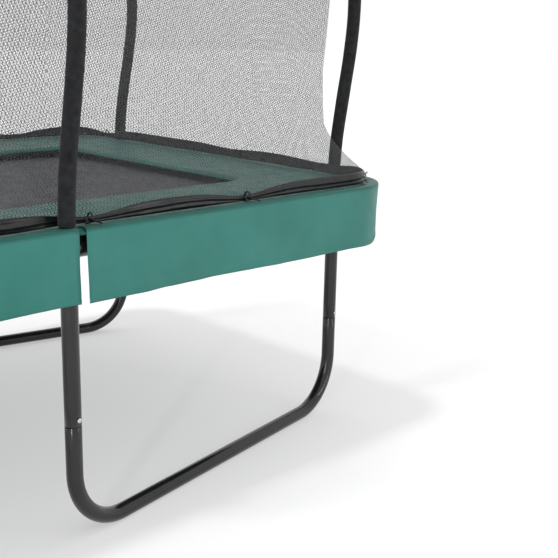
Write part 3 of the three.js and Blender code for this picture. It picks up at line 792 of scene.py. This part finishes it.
def make_skirt(index):
    name = f"{POLE_NAMES[index]}_to_{POLE_NAMES[(index + 1) % 6]}"
    run = skirt_run(index)
    rows = [(LAP, PAD_TOP - 0.0012), (0.022, PAD_TOP + 0.0008), (0.012, PAD_TOP + 0.0016)]
    rows += [(0.006, PAD_TOP + 0.0010), (0.0025, PAD_TOP - 0.0006), (0.0008, PAD_TOP - 0.0032)]
    rows += [(0.0, z) for z in np.linspace(PAD_TOP - 0.008, SKIRT_BOTTOM + 0.014, 17)]
    rows += [(0.0, SKIRT_BOTTOM + 0.0105), (-0.0008, SKIRT_BOTTOM + 0.0095), (-0.0008, SKIRT_BOTTOM)]
    vertices, faces = [], []
    count = len(run)
    travelled = 0.0
    total = sum((run[k + 1] - run[k]).length for k in range(count - 1))
    for k, point in enumerate(run):
        ahead = run[min(k + 1, count - 1)] - run[max(k - 1, 0)]
        normal = Vector((ahead.y, -ahead.x)).normalized()
        if k:
            travelled += (point - run[k - 1]).length
        end = min(travelled, total - travelled)
        for inset, z in rows:
            drop = max(0.0, (PAD_TOP - z) / (PAD_TOP - SKIRT_BOTTOM))
            fold = waves(point.x, point.y, 3.2, 1.5 + index) * 0.010 + waves(point.x, point.y, 9, 7) * 0.004
            crease = 0.0022 * noise.noise(Vector((point.x * 24, point.y * 24, z * 12)))
            crease *= 1 + 2 * math.exp(-end / 0.08)
            curl = 0.006 * math.exp(-end / 0.03) * drop
            tuck = 0.008 * math.sin(math.pi * min(drop, 1.0)) * 0.6
            push = drop * (fold + crease) + curl - tuck * 0.4
            place = point + normal * (push - inset)
            to_corner = (Vector((abs(point.x), abs(point.y))) - CORNER_LIFT_AT).length
            corner = max(0.0, 1 - to_corner / CORNER_LIFT_REACH)
            sag = (0.0035 * waves(point.x, point.y, 4, 20) + CORNER_LIFT * corner) * drop
            vertices.append((place.x, place.y, z + sag))
    height = len(rows)
    for k in range(count - 1):
        for r in range(height - 1):
            a = k * height + r
            faces.append((a, a + 1, a + height + 1, a + height))
    skirt = add_piece("flap_" + name, vertices, faces, VINYL, "green_vinyl", replaces=["skirt_" + name])
    thicken = skirt.modifiers.new("cloth_thickness", "SOLIDIFY")
    thicken.thickness = FLAP_THICKNESS
    thicken.offset = -1


for number in range(6):
    make_skirt(number)


# ---------------- net and its bands
def net_columns():
    """Columns round the net: (pole span, share of it, place on the net's foot)."""
    loop = outline(NET_FOOT_INSET, PAD_CORNER - NET_FOOT_INSET, NET_STEP)
    feet = []
    for index in range(6):
        edge = beside_pole(index, NET_FOOT_INSET)
        feet.append(nearest_index(loop, edge))
        loop[feet[-1]] = edge
    columns = []
    for span in range(6):
        a, b = feet[span], feet[(span + 1) % 6]
        stretch = [loop[(a + k) % len(loop)] for k in range((b - a) % len(loop) + 1)]
        lengths = [0.0]
        for one, two in zip(stretch, stretch[1:]):
            lengths.append(lengths[-1] + (two - one).length)
        columns += [(span, at / lengths[-1], point) for at, point in zip(lengths[:-1], stretch[:-1])]
    return columns


NET_COLUMNS = net_columns()


def hexagon(span, share, inset):
    a, b = (Vector(POLE_FEET[k]) - Vector(OUTWARD[k]) * inset for k in (span, (span + 1) % 6))
    return a.lerp(b, share)


def joined_columns(rows, closed):
    """Quads between the net's columns, all the way round. closed joins the last row to the first."""
    columns = len(NET_COLUMNS)
    faces = []
    for k in range(columns):
        n = (k + 1) % columns
        for r in range(rows if closed else rows - 1):
            q = (r + 1) % rows
            faces.append((k * rows + r, n * rows + r, n * rows + q, k * rows + q))
    return faces


def net_plan(column, z):
    """Where a column of the net stands at height z, seen from above."""
    span, share, foot = NET_COLUMNS[column % len(NET_COLUMNS)]
    point = Vector(foot)
    for pole, out in zip(POLE_FEET, OUTWARD):
        near = math.exp(-(((point - pole).length - NET_TUCK_PEAK) / NET_TUCK_WIDTH) ** 2)
        point = point - Vector(out) * NET_TUCK * near
    pull = 1 - math.exp(-((max(z - HEM_TOP, 0) / PULL_HEIGHT) ** 1.15))
    spread = 1 - math.exp(-max(z - WAIST_Z, 0) / OPENING_HEIGHT)
    inset = NET_WAIST + (NET_TOP_GAP - NET_WAIST) * spread
    point = point.lerp(hexagon(span, share, inset), pull)
    if point.x < ZIP_SIDE_X and z <= ZIP_TOP + ZIP_HOLD_ABOVE:
        hold = math.exp(-((point.y / ZIP_HOLD_WIDTH) ** 2))
        hold *= 1 - smooth((z - ZIP_TOP) / ZIP_HOLD_ABOVE)
        point.x += (ZIP_X - point.x) * hold
    return point


def net_point(column, z, outward):
    before, after = net_plan(column - 1, z), net_plan(column + 1, z)
    along = (after - before).normalized()
    point = net_plan(column, z)
    return Vector((point.x + along.y * outward, point.y - along.x * outward, z))


def make_net():
    rise = np.linspace(0, 1, 64) ** 1.35
    heights = [NET_BOTTOM + (NET_TOP - NET_BOTTOM) * r for r in rise]
    columns = len(NET_COLUMNS)
    vertices = []
    travelled = [0.0]
    for k in range(columns):
        travelled.append(travelled[-1] + (net_plan(k + 1, 1.2) - net_plan(k, 1.2)).length)
    for k in range(columns):
        for z in heights:
            spot = net_point(k, z, -0.001)
            ripple = 0.0035 * noise.noise(Vector((spot.x * 5, spot.y * 5, z * 1.6)))
            fade = smooth((z - HEM_TOP) / 0.1) * smooth((NET_TOP - z) / 0.1)
            vertices.append(net_point(k, z, -0.001 + ripple * fade))
    rows = len(heights)
    down = [0.0] * len(vertices)
    for k in range(columns):
        for r in range(rows - 2, -1, -1):
            here = k * rows + r
            down[here] = down[here + 1] + (vertices[here] - vertices[here + 1]).length
    faces = joined_columns(rows, closed=False)
    net = add_piece("net_walls", vertices, faces, NET, "net_mesh", replaces=["enclosure_net"])
    uv = net.data.uv_layers.new(name="metres")
    for polygon in net.data.polygons:
        last_column = polygon.vertices[1] < polygon.vertices[0]
        for loop_index, vertex in zip(polygon.loop_indices, polygon.vertices):
            column = vertex // rows
            along = travelled[columns] if last_column and column == 0 else travelled[column]
            uv.data[loop_index].uv = (along, -down[vertex])
    return net, travelled[-1]


def distance_round(a, b):
    gap = abs(a - b) % len(NET_COLUMNS)
    return min(gap, len(NET_COLUMNS) - gap)


def tie_columns():
    """One tie stands beside each pole and one is partway to the next pole."""
    starts = [min(k for k, column in enumerate(NET_COLUMNS) if column[0] == span) for span in range(6)]
    ties = []
    for span, first in enumerate(starts):
        count = (starts[(span + 1) % 6] - first) % len(NET_COLUMNS)
        ties += [first + 5, first + round(count * (TIE_SHARE if span != 5 else 1 - TIE_SHARE))]
    return ties


TIES = tie_columns()


def hem_rise(column):
    """The share of its full height that the hem reaches at a column: pinched down at each tie."""
    depth = PINCH_END if NET_COLUMNS[column][0] in (1, 4) else PINCH_LONG_SIDE
    nearest = min(distance_round(column, tie) for tie in TIES) * NET_STEP
    pinch = math.exp(-((nearest / PINCH_WIDTH) ** 2))
    return 1 - depth * pinch


def make_foot_band():
    """The hem of the net: a padded vinyl band, pinched at its ties, with long folds between them."""
    low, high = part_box("net_bottom_hem")[0][2], HEM_TOP + 0.004
    shares = np.linspace(0, 1, 15)
    section = [(t, 0.0012 + 0.0030 * math.sin(math.pi * t) ** 0.5) for t in shares]
    section += [(t, 0.0004) for t in shares[::-2]]
    vertices = []
    for k in range(len(NET_COLUMNS)):
        spot = net_plan(k, low)
        rise = hem_rise(k)
        sway = noise.noise(Vector((spot.x * 4, spot.y * 4, 4)))
        for t, outward in section:
            fold = 0.0
            if outward > 0.001:
                phase = 2 * math.pi * (2.2 * t + 0.6 * sway)
                fold = 0.0016 * math.sin(phase) * math.sin(math.pi * t)
                fold += 0.0012 * noise.noise(Vector((spot.x * 22, spot.y * 22, t * 3)))
            z = low + (high - low) * t * rise + 0.0012 * sway * t
            vertices.append(net_point(k, z, outward + max(fold, -0.0008) + 0.0015 * (1 - rise)))
    faces = joined_columns(len(section), closed=True)
    return add_piece("foot_band", vertices, faces, HEM, "webbing", replaces=["net_bottom_hem"])


def make_top_band():
    heights = np.linspace(TOP_BAND_BOTTOM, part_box("net_top_band")[1][2], 6)
    section = [(z, 0.0028 if 0 < i < 5 else 0.0018) for i, z in enumerate(heights)]
    section += [(z, 0.0005) for z in heights[::-1]]
    vertices = []
    for k in range(len(NET_COLUMNS)):
        for z, outward in section:
            spot = net_plan(k, z)
            ripple = 0.0008 * noise.noise(Vector((spot.x * 12, spot.y * 12, z * 20)))
            vertices.append(net_point(k, z, outward + (ripple if outward > 0.001 else 0)))
    faces = joined_columns(len(section), closed=True)
    return add_piece("top_band", vertices, faces, WEBBING, "webbing", replaces=["net_top_band"])


net_piece, net_round = make_net()
net_bands = [make_foot_band(), make_top_band()]


def make_ties():
    """Elastic loops that tie the net's foot down, with their knots and loose ends."""
    parts = []
    for column in TIES:
        low = net_point(column, PAD_TOP + 0.002, 0.006)
        out = (net_point(column, PAD_TOP + 0.002, 0.026) - low).normalized()
        along = Vector((-out.y, out.x, 0))

        def spot(outward, sideways, upward):
            return low + out * outward + along * sideways + Vector((0, 0, upward))

        wrap = [spot(0.0015 - 0.008 * math.cos(a), 0.002 * a, 0.010 + 0.012 * math.sin(a))
                for a in np.linspace(-1.3, 3.6, 18)]
        knot = [spot(0.007 + 0.004 * math.sin(2 * a), 0.0065 * math.cos(a), 0.0065 + 0.0045 * math.sin(a))
                for a in np.linspace(0, 8.5, 34)]
        tail = [spot(0.008 + 0.026 * t, 0.004 + 0.012 * t, 0.006 - 0.003 * t * t)
                for t in np.linspace(0, 1, 9)]
        short = [spot(0.008 + 0.012 * t, -0.004 - 0.012 * t, 0.006 - 0.003 * t * t)
                 for t in np.linspace(0, 1, 7)]
        parts += [tube(wrap, 0.0021, 8), tube(knot, 0.0024, 8)]
        parts += [tube(tail, 0.0019, 8), tube(short, 0.0019, 8)]
    add_piece("elastic_ties", *merged(parts), HEM, "webbing")


def make_corner_rings():
    """A wire ring at each corner of the net's foot."""
    parts = []
    inset = PAD_CORNER - (PAD_CORNER - NET_FOOT_INSET) / math.sqrt(2)
    for sx, sy in CORNERS.values():
        diagonal = Vector((sx, sy, 0)).normalized()
        centre = Vector((sx * (HALF_X - inset), sy * (HALF_Y - inset), PAD_TOP + 0.016)) + diagonal * 0.006
        side = Vector((-diagonal.y, diagonal.x, 0))
        lean = (Vector((0, 0, 1)) + diagonal * 0.5).normalized()
        ring = [centre + side * 0.0115 * math.cos(a) + lean * 0.0115 * math.sin(a)
                for a in np.linspace(0, 2 * math.pi, 29)]
        parts.append(tube(ring, 0.0017, 10))
    add_piece("corner_rings", *merged(parts), ZINC, "zinc_screw")


make_ties()
make_corner_rings()


# ---------------- springs
def coil_spring(start, end):
    """A coil spring with a bent wire at each end, from beside the frame's tube to the mat's ring."""
    axis = (end - start).normalized()
    side = Vector((0, 0, 1)).cross(axis).normalized()
    up = axis.cross(side)
    length = (end - start).length
    coiled = length - 2 * SPRING_HOOK
    steps = round(coiled / SPRING_PITCH) * COIL_STEPS
    points = []
    for t in np.linspace(0, 1, 9):
        points.append(start + axis * (SPRING_HOOK * t) + up * (0.006 * (1 - t) ** 2 + SPRING_COIL * t * t))
    for i in range(1, steps):
        angle = math.pi / 2 + 2 * math.pi * i / COIL_STEPS
        along = SPRING_HOOK + coiled * i / steps
        across = side * math.cos(angle) + up * math.sin(angle)
        points.append(start + axis * along + across * SPRING_COIL)
    for t in np.linspace(0, 1, 9):
        lift = 0.006 * t ** 2 + SPRING_COIL * (1 - t) ** 2
        points.append(end - axis * (SPRING_HOOK * (1 - t)) + up * lift)
    return tube(points, SPRING_WIRE, 5)


def make_spring_row(name, out, count, row_half):
    out = Vector((*out, 0))
    along = Vector((-out.y, out.x, 0))
    half = HALF_X if out.x else HALF_Y
    outer, inner = half - SPRING_OUTER, half - SPRING_INNER
    lift = Vector((0, 0, MAT_MIDDLE))
    parts = []
    for i in range(count):
        at = along * ((i - (count - 1) / 2) * (2 * row_half - 0.032) / (count - 1))
        end = out * inner + at + lift
        parts.append(coil_spring(out * outer + at + lift, end))
        tip, left, right = (end + out * dx + along * dy
                            for dx, dy in ((0.001, 0), (-0.009, 0.011), (-0.009, -0.011)))
        ring = [tip, tip.lerp(left, 0.5), left, left.lerp(right, 0.5), right, right.lerp(tip, 0.5), tip]
        parts.append(tube(ring, RING_WIRE, 6))
    row = add_piece("springs_" + name, *merged(parts), ZINC, "zinc_spring", body=None,
                    replaces=["spring_row_" + name])
    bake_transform(row)


make_spring_row("near", (0, -1), 14, LONG_HALF)
make_spring_row("right", (1, 0), 9, SHORT_HALF)
make_spring_row("far", (0, 1), 14, LONG_HALF)
make_spring_row("left", (-1, 0), 9, SHORT_HALF)


# ---------------- jumping mat
def make_mat():
    """The bed: one woven sheet that dips a little in the middle, with faint puckers at its edge."""
    rim = outline(MAT_INSET, MAT_CORNER, 0.016)
    shares = list(np.linspace(1.0, 0.04, 34))
    vertices = []
    count = len(rim)
    for share in shares:
        for k, point in enumerate(rim):
            spot = point * share
            dip = -MAT_DIP * (1 - share * share)
            pucker = 0.0009 * math.sin(k * 0.9) * math.exp(-(1 - share) / 0.05)
            vertices.append((spot.x, spot.y, MAT_MIDDLE + 0.0005 + dip + pucker))
    vertices.append((0, 0, MAT_MIDDLE + 0.0005 - MAT_DIP))
    last = (len(shares) - 1) * count
    faces = joined_rings(len(shares), count)
    faces += [(last + k, last + (k + 1) % count, len(vertices) - 1) for k in range(count)]
    bed = add_piece("mat_bed", vertices, faces, MAT_WEAVE, "mat_fabric", body="mat", replaces=["jumping_mat"])
    thicken = bed.modifiers.new("cloth_thickness", "SOLIDIFY")
    thicken.thickness = 0.0016


def make_mat_webbing():
    """Folded webbing round the edge of the bed, with two rows of stitches."""
    low, high = (corner[2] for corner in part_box("mat_edge_webbing"))
    section = [(0.0, MAT_MIDDLE), (0.0008, high - 0.0004), (0.003, high), (0.5 * MAT_BAND, high - 0.0003)]
    section += [(MAT_BAND - 0.002, high - 0.0001), (MAT_BAND, high - 0.0008), (MAT_BAND, MAT_MIDDLE + 0.0012)]
    section += [(0.002, MAT_MIDDLE + 0.0012), (0.002, MAT_MIDDLE - 0.0012), (MAT_BAND, MAT_MIDDLE - 0.0012)]
    section += [(MAT_BAND, low + 0.0008), (MAT_BAND - 0.002, low), (0.003, low), (0.0008, low + 0.0004)]
    loops = [(outline(MAT_INSET + inset, max(MAT_CORNER - inset, 0.02)), z) for inset, z in section]
    count = len(loops[0][0])
    vertices = [(loop[k].x, loop[k].y, z) for loop, z in loops for k in range(count)]
    band = (vertices, joined_rings(len(loops), count, closed=True))
    diamond = [(0, 1, 4), (1, 2, 4), (2, 3, 4), (3, 0, 4), (1, 0, 5), (2, 1, 5), (3, 2, 5), (0, 3, 5)]
    stitches = []
    for inset in (0.005, MAT_BAND - 0.006):
        line = outline(MAT_INSET + inset, max(MAT_CORNER - inset, 0.02), 0.004)
        for k in range(0, len(line) - 1, 2):
            a, b = line[k], line[(k + 1) % len(line)]
            mid, half = (a + b) / 2, (b - a) * 0.5
            side = Vector((-half.y, half.x)).normalized() * 0.0006
            ring = [mid - half, mid + side, mid + half, mid - side]
            body = [Vector((c.x, c.y, high)) for c in ring]
            body += [Vector((mid.x, mid.y, high + 0.0007)), Vector((mid.x, mid.y, high - 0.0004))]
            stitches.append((body, diamond))
    add_piece("mat_webbing", *merged([band] + stitches), WEBBING, "webbing", body="mat",
              replaces=["mat_edge_webbing"])


make_mat()
make_mat_webbing()


# ---------------- zip tape
def make_zip_tape():
    """Two plain strips with an interlocked row of teeth between them and a stop at each end."""
    low, high = (Vector(corner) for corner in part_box("zip_tape"))
    back, face = high.x, high.x - 0.002
    parts = []
    heights = list(np.linspace(low.z, high.z, 90))
    for side in (-1, 1):
        outer, inner = side * high.y, side * 0.0012
        vertices = []
        for z in heights:
            ripple = 0.0004 * noise.noise(Vector((side * 3, 0, z * 30)))
            section = [(face - ripple, inner), (face - ripple, 0.5 * (inner + outer)), (face - ripple, outer),
                       (back, outer), (back, inner)]
            vertices += [Vector((x, y, z)) for x, y in section]
        faces = joined_rings(len(heights), 5)
        faces += [(0, 1, 2, 3, 4), tuple(len(vertices) - 5 + k for k in range(5))[::-1]]
        parts.append((vertices, faces))
    box_faces = [(0, 1, 2, 3), (7, 6, 5, 4), (0, 4, 5, 1), (1, 5, 6, 2), (2, 6, 7, 3), (3, 7, 4, 0)]
    for i in range(int((high.z - low.z - 0.008) / ZIP_TOOTH_STEP)):
        z = low.z + 0.004 + ZIP_TOOTH_STEP * i
        side = 1 if i % 2 else -1
        y0, y1 = side * 0.0026, -side * 0.0012
        block = [Vector((x, y, z + dz)) for dz in (0, 0.0026) for x, y in
                 ((low.x + 0.0006, y0), (low.x + 0.0002, y1), (face, y1), (face, y0))]
        parts.append((block, box_faces))
    for z in (low.z + 0.0015, high.z - 0.0035):
        stop = lathe([(0.0001, 0), (0.0030, 0), (0.0034, 0.0008), (0.0030, 0.0020), (0.0001, 0.0022)], 16)
        parts.append(placed(stop, Matrix.Translation((face - 0.0005, 0, z))))
    add_piece("zip_tape_teeth", *merged(parts), PLASTIC, "zip_plastic", replaces=["zip_tape"], smooth=False)


make_zip_tape()


# ---------------- CAD pieces that stay
def dress(node, material):
    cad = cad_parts[node]
    cad.data.materials.clear()
    cad.data.materials.append(material)


dress("zip_slider", ZINC)
dress("zip_pull", ZINC)


# ---------------- floor, lights and world
def make_stage():
    size = 30
    corners = [(-size, -size, 0), (size, -size, 0), (size, size, 0), (-size, size, 0)]
    mesh = bpy.data.meshes.new("floor")
    mesh.from_pydata(corners, [], [(0, 1, 2, 3)])
    floor = bpy.data.objects.new("floor", mesh)
    link(floor)
    look = Look("studio_floor", 0.9, specular=0.1)
    look.shader.inputs["Base Color"].default_value = (0.48, 0.48, 0.48, 1)
    look.shader.inputs["Emission Color"].default_value = (1, 1, 1, 1)
    look.shader.inputs["Emission Strength"].default_value = 0.395
    mesh.materials.append(look.material)


def add_light(name, kind, energy, towards, at=(0, 0, 0)):
    data = bpy.data.lights.new(name, kind)
    data.energy = energy
    light = bpy.data.objects.new(name, data)
    light.location = at
    light.rotation_euler = Vector(towards).to_track_quat("-Z", "Y").to_euler()
    link(light)
    return data


def add_strip(name, at, target, size, power):
    data = add_light(name, "AREA", power, Vector(target) - Vector(at), at)
    data.shape = "RECTANGLE"
    data.size, data.size_y = size


make_stage()
add_light("soft_sun", "SUN", 1.45, (0.38, -0.08, -1)).angle = math.radians(7)
add_strip("left_strip", (-2.6, -2.6, 1.1), (0, -0.7, 0.5), (0.12, 2.2), 34)
add_strip("right_strip", (2.2, -3.4, 1.1), (0.4, -0.7, 0.5), (0.16, 2.2), 16)
world = bpy.data.worlds.new("studio")
world.use_nodes = True
background = world.node_tree.nodes["Background"]
background.inputs["Color"].default_value = (1, 1, 1, 1)
background.inputs["Strength"].default_value = 1.0
bpy.context.scene.world = world
bpy.context.scene.view_settings.view_transform = "Standard"
